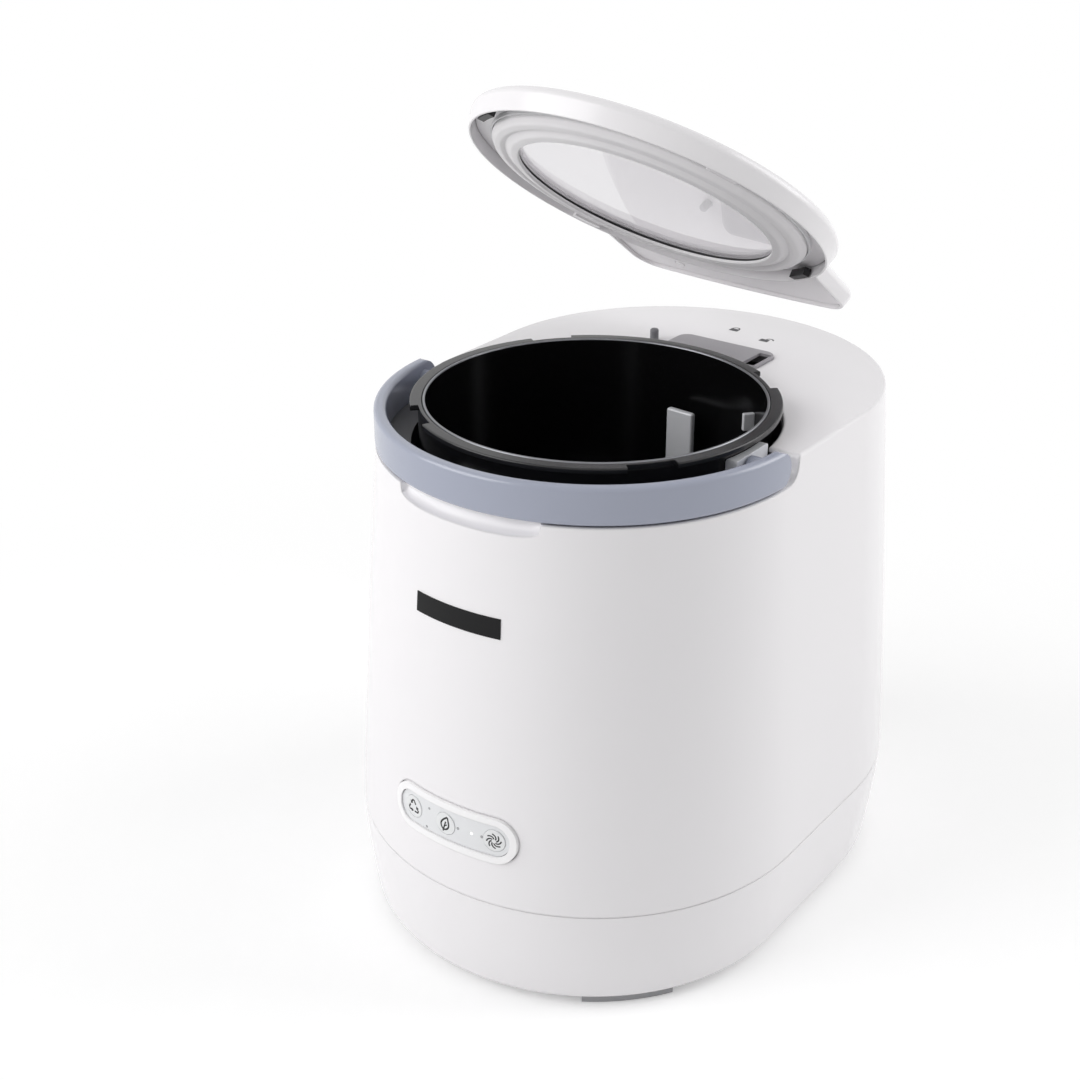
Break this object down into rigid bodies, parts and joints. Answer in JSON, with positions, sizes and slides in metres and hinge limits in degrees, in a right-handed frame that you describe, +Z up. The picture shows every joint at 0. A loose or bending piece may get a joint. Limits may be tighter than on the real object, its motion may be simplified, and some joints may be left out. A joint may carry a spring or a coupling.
{
  "type": "electric food waste composter",
  "caption": "Countertop electric food waste composter: oval tapering body, lift-out bucket with a swinging handle and stirrer, raised round glass lid with a tail, drive and fan.",
  "frame": {"origin": "centre of the footprint on the floor, halfway between the centres of the two round ends", "axes": "+Z up, -Y towards the front with the control panel and the handle, +X to the right of someone facing the front"},
  "size_m": [0.2696, 0.3531, 0.4792],
  "materials": {
    "white_gloss": "glossy",
    "white_satin": "satin",
    "blue_grey": "satin",
    "mid_grey": "matte",
    "dark_grey": "satin",
    "non_stick_black": "coated",
    "black_plastic": "matte",
    "silver_grey": "satin",
    "steel": "brushed",
    "cast_aluminium": "cast",
    "bronze": "sintered",
    "grey_rubber": "matte",
    "silicone": "matte",
    "circuit_board": "satin",
    "activated_carbon": "rough",
    "nylon": "satin",
    "window_glass": "clear"
  },
  "bodies": {
    "base": {"main_housing": "white_gloss", "base_pan": "white_gloss", "foot_1": "grey_rubber", "foot_2": "grey_rubber", "foot_3": "grey_rubber", "foot_4": "grey_rubber", "chamber_liner": "mid_grey", "heater_plate": "cast_aluminium", "heater_element": "steel", "gearbox_base": "dark_grey", "gearbox_top": "dark_grey", "lower_bearing": "bronze", "upper_bearing": "bronze", "shaft_seal": "black_plastic", "gear_motor": "steel", "middle_pin": "steel", "air_insert": "mid_grey", "air_duct": "dark_grey", "pin_holder": "dark_grey", "fan_volute": "dark_grey", "fan_motor": "steel", "filter_bay": "mid_grey", "panel_bezel": "white_satin", "panel_face": "silver_grey", "control_board": "circuit_board", "power_board": "circuit_board", "inlet_socket": "black_plastic"},
    "drive": {"drive_shaft": "steel", "drive_gear": "nylon", "drive_dog": "steel"},
    "middle_gear": {"middle_gear": "nylon"},
    "motor_pinion": {"motor_pinion": "steel"},
    "fan": {"fan_impeller": "black_plastic"},
    "filter_drawer": {"filter_door": "white_gloss", "filter_tray": "nylon", "carbon_filter": "activated_carbon"},
    "sensor_pin": {"sensor_pin": "mid_grey"},
    "key_1": {"key_1": "white_satin"},
    "key_2": {"key_2": "white_satin"},
    "key_3": {"key_3": "white_satin"},
    "bucket": {"bucket_pot": "non_stick_black", "bucket_collar": "dark_grey", "bracket_left": "silver_grey", "bracket_right": "silver_grey", "shaft_bush": "bronze"},
    "handle": {"handle": "blue_grey"},
    "stirrer": {"stirrer_hub": "silver_grey", "stirrer_shaft": "steel", "driven_dog": "steel"},
    "lid": {"lid_shell": "white_gloss", "lid_panel": "white_satin", "lid_tail_cover": "white_satin", "window_gasket": "black_plastic", "lid_window": "window_glass", "lid_seal": "silicone", "lid_clip_1": "black_plastic", "lid_clip_2": "black_plastic"}
  },
  "joints": [
    {"name": "bucket_lift", "type": "slide", "parent": "base", "child": "bucket", "axis": [0, 0, 1], "range_m": [0, 0.2]},
    {"name": "handle_pivot", "type": "hinge", "parent": "bucket", "child": "handle", "pos_m": [0, -0.0507, 0.29935], "axis": [-1, 0, 0], "range_deg": [0, 90]},
    {"name": "lid_tilt", "type": "hinge", "parent": "bucket", "child": "lid", "pos_m": [0, 0.1406, 0.2872], "axis": [-0.9987, 0.0456, -0.0215], "range_deg": [-35.81, 0]},
    {"name": "stirrer_spin", "type": "hinge", "parent": "bucket", "child": "stirrer", "pos_m": [0, -0.0417, 0.2], "axis": [0, 0, 1], "continuous": true},
    {"name": "drive_spin", "type": "hinge", "parent": "base", "child": "drive", "pos_m": [0, -0.0417, 0.11], "axis": [0, 0, 1], "continuous": true},
    {"name": "middle_spin", "type": "hinge", "parent": "base", "child": "middle_gear", "pos_m": [0, 0.0063, 0.11], "axis": [0, 0, 1], "continuous": true},
    {"name": "motor_spin", "type": "hinge", "parent": "base", "child": "motor_pinion", "pos_m": [0, 0.0463, 0.11], "axis": [0, 0, 1], "continuous": true},
    {"name": "fan_spin", "type": "hinge", "parent": "base", "child": "fan", "pos_m": [0, 0.112, 0.25], "axis": [0, 0, 1], "continuous": true},
    {"name": "filter_slide", "type": "slide", "parent": "base", "child": "filter_drawer", "axis": [0, 1, 0], "range_m": [0, 0.092]},
    {"name": "pin_press", "type": "slide", "parent": "base", "child": "sensor_pin", "axis": [0, 0, 1], "range_m": [-0.0025, 0], "stiffness_N_per_m": 200, "springref_m": 0.001},
    {"name": "key_1_press", "type": "slide", "parent": "base", "child": "key_1", "axis": [0.1994, 0.9799, 0], "range_m": [0, 0.0006], "stiffness_N_per_m": 800, "springref_m": -0.0005},
    {"name": "key_2_press", "type": "slide", "parent": "base", "child": "key_2", "axis": [0.0192, 0.9998, 0], "range_m": [0, 0.0006], "stiffness_N_per_m": 800, "springref_m": -0.0005},
    {"name": "key_3_press", "type": "slide", "parent": "base", "child": "key_3", "axis": [-0.2113, 0.9774, 0], "range_m": [0, 0.0006], "stiffness_N_per_m": 800, "springref_m": -0.0005}
  ],
  "couplings": [
    {"joint": "drive_spin", "follows": "stirrer_spin", "ratio": 1},
    {"joint": "middle_spin", "follows": "stirrer_spin", "ratio": -3},
    {"joint": "motor_spin", "follows": "stirrer_spin", "ratio": 9}
  ]
}
